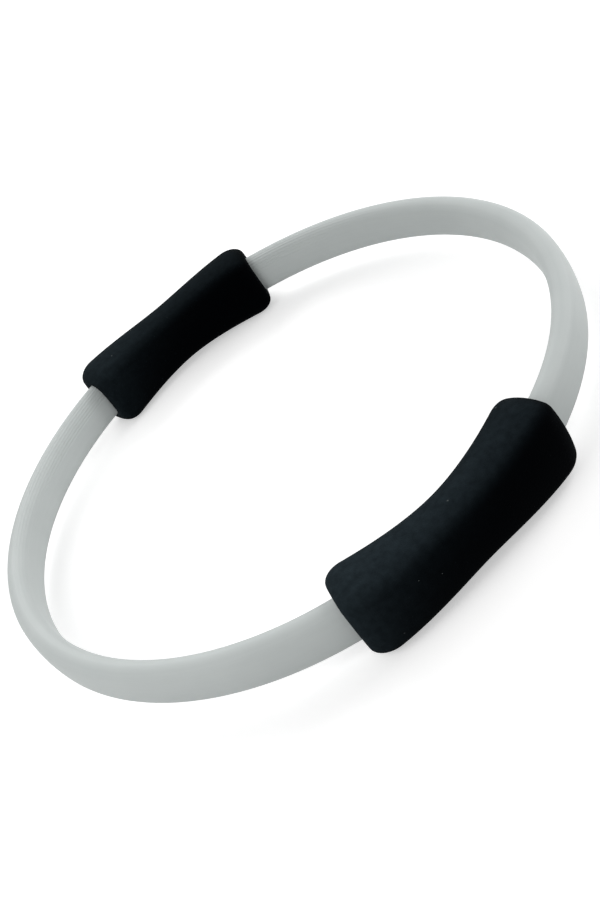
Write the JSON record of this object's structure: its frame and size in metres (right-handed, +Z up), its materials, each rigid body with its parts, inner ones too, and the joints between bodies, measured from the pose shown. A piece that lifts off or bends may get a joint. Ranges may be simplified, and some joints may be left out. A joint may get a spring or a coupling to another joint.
{
  "type": "pilates ring",
  "caption": "Spring hoop for squeezing exercises: a flat-oval sleeve over fibreglass leaves, with waisted foam grips facing each other across the hoop.",
  "frame": {"origin": "on the hoop's axis, in the plane that the ring lies on", "axes": "+Z up along the hoop's axis, +Y from the front grip to the rear grip, +X to the right"},
  "size_m": [0.3799, 0.3964, 0.047],
  "materials": {
    "sleeve_grey": "satin, with a band of fine reeds",
    "foam_black": "matte foam skin",
    "fibreglass": "pultruded",
    "steel": "zinc plated"
  },
  "bodies": {
    "rear_grip": {"rear_foam_grip": "foam_black", "rear_coupler": "steel", "rear_left_rivets": "steel", "rear_right_rivets": "steel"},
    "front_grip": {"front_foam_grip": "foam_black", "front_coupler": "steel"},
    "left_bow": {"left_sleeve": "sleeve_grey", "left_inner_leaf": "fibreglass", "left_outer_leaf": "fibreglass"},
    "right_bow": {"right_sleeve": "sleeve_grey", "right_inner_leaf": "fibreglass", "right_outer_leaf": "fibreglass"},
    "left_bow_end": {"front_left_rivets": "steel"},
    "right_bow_end": {"front_right_rivets": "steel"}
  },
  "joints": [
    {"name": "squeeze", "type": "slide", "parent": "rear_grip", "child": "front_grip", "axis": [0, 1, 0], "range_m": [0, 0.1], "stiffness_N_per_m": 1190, "deforming": ["left_sleeve", "left_inner_leaf", "left_outer_leaf", "right_sleeve", "right_inner_leaf", "right_outer_leaf"]},
    {"name": "left_bow_spread", "type": "slide", "parent": "rear_grip", "child": "left_bow", "axis": [-0.6925, 0.7214, 0], "range_m": [0, 0.0694]},
    {"name": "left_bow_return", "type": "slide", "parent": "left_bow", "child": "left_bow_end", "axis": [0.6925, 0.7214, 0], "range_m": [0, 0.0694]},
    {"name": "right_bow_spread", "type": "slide", "parent": "rear_grip", "child": "right_bow", "axis": [0.7141, 0.7001, 0], "range_m": [0, 0.0715]},
    {"name": "right_bow_return", "type": "slide", "parent": "right_bow", "child": "right_bow_end", "axis": [-0.7141, 0.7001, 0], "range_m": [0, 0.0715]}
  ],
  "couplings": [
    {"joint": "left_bow_spread", "follows": "squeeze", "ratio": 0.69311},
    {"joint": "left_bow_return", "follows": "squeeze", "ratio": 0.69311},
    {"joint": "right_bow_spread", "follows": "squeeze", "ratio": 0.71421},
    {"joint": "right_bow_return", "follows": "squeeze", "ratio": 0.71421}
  ]
}
